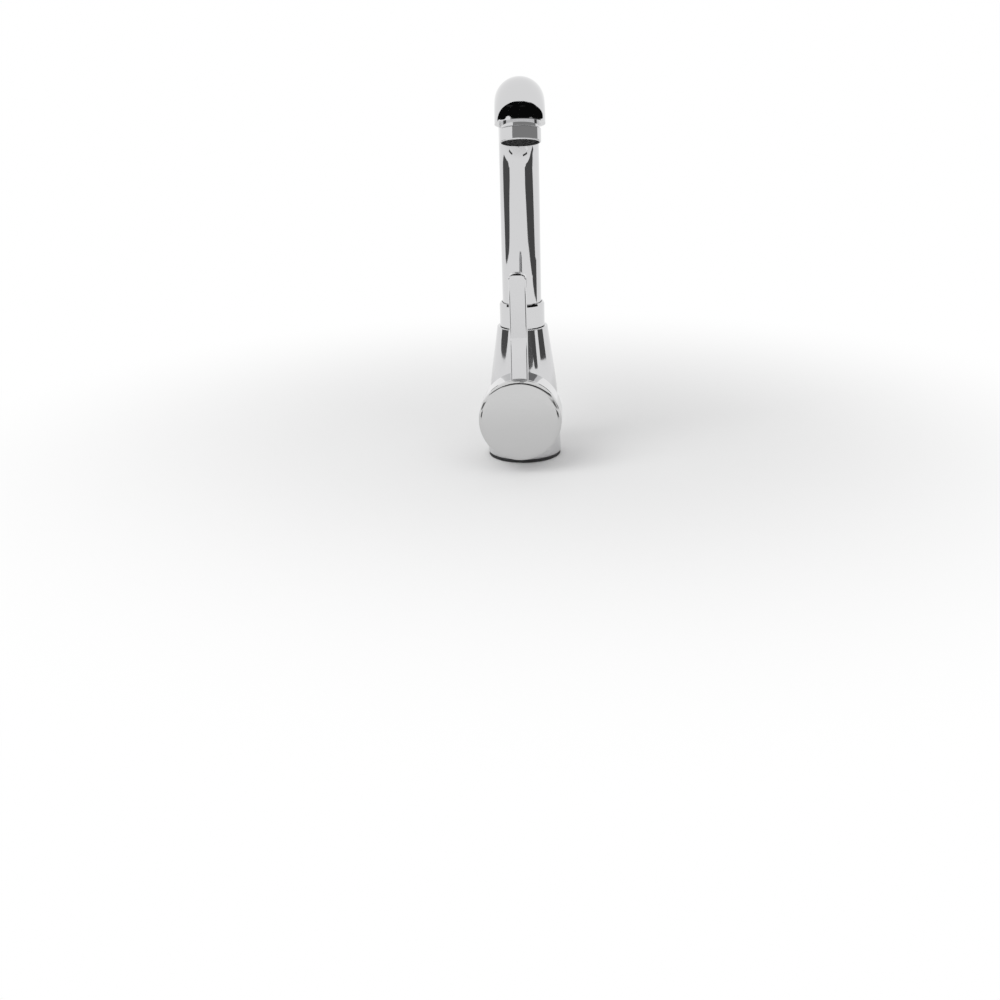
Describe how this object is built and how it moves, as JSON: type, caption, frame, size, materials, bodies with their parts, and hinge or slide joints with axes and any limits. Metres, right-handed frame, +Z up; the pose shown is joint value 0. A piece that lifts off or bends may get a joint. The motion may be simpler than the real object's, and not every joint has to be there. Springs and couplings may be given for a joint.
{
  "type": "single-lever mixer tap",
  "caption": "Chrome single-lever deck mixer tap: round tapered body, level cartridge with an upright lever, and a rising swivel spout with an angled aerator.",
  "frame": {"origin": "centre of the base, on the mounting face under the base gasket", "axes": "+Z up along the spout's swivel axis, -Y forward along the cartridge's axis, +X to the user's right"},
  "size_m": [0.0524, 0.2011, 0.3019],
  "materials": {
    "chrome_brass": "polished chrome on brass",
    "chrome_zinc": "polished chrome on cast zinc",
    "chrome_cap": "satin chrome",
    "brass": "turned brass",
    "zinc_steel": "zinc-plated steel",
    "black_rubber": "moulded rubber",
    "white_plastic": "moulded acetal",
    "grey_plastic": "moulded acetal",
    "dark_plastic": "moulded acetal",
    "ceramic": "lapped alumina"
  },
  "bodies": {
    "tap_body": {"valve_body": "chrome_brass", "base_gasket": "black_rubber", "fixing_studs": "zinc_steel", "stud_nuts": "brass", "clamp_gasket": "black_rubber", "clamp_plate": "zinc_steel", "cartridge_base": "grey_plastic", "port_seals": "black_rubber", "cartridge_shell": "white_plastic", "fixed_ceramic_disc": "ceramic", "cartridge_nut": "brass", "housing_dome": "chrome_brass", "swivel_nut": "chrome_brass", "slip_ring": "white_plastic"},
    "spout": {"spout_tube": "chrome_brass", "spout_shank": "brass", "shank_o_rings": "black_rubber", "spout_nose": "chrome_brass", "aerator_ring": "chrome_brass", "aerator_seal": "black_rubber", "aerator_insert": "dark_plastic", "aerator_screen": "zinc_steel"},
    "rotor": {"cartridge_rotor": "white_plastic", "pivot_pin": "zinc_steel"},
    "handle": {"cartridge_stem": "brass", "handle_hub": "chrome_zinc", "handle_lever": "chrome_zinc", "handle_cap": "chrome_cap", "cap_o_ring": "black_rubber", "handle_screw": "zinc_steel"},
    "slider": {"disc_carrier": "grey_plastic", "moving_ceramic_disc": "ceramic"}
  },
  "joints": [
    {"name": "spout_swivel", "type": "hinge", "parent": "tap_body", "child": "spout", "pos_m": [0, 0, 0.095], "axis": [0, 0, 1], "continuous": true},
    {"name": "temperature_turn", "type": "hinge", "parent": "tap_body", "child": "rotor", "pos_m": [0, -0.022, 0.0362], "axis": [0, -1, 0], "range_deg": [-45, 45]},
    {"name": "flow_tilt", "type": "hinge", "parent": "rotor", "child": "handle", "pos_m": [0, -0.022, 0.0362], "axis": [1, 0, 0], "range_deg": [0, 20]},
    {"name": "disc_slide", "type": "slide", "parent": "rotor", "child": "slider", "axis": [0, 0, 1], "range_m": [0, 0.0034]}
  ],
  "couplings": [
    {"joint": "disc_slide", "follows": "flow_tilt", "m_per_rad": 0.0096}
  ]
}
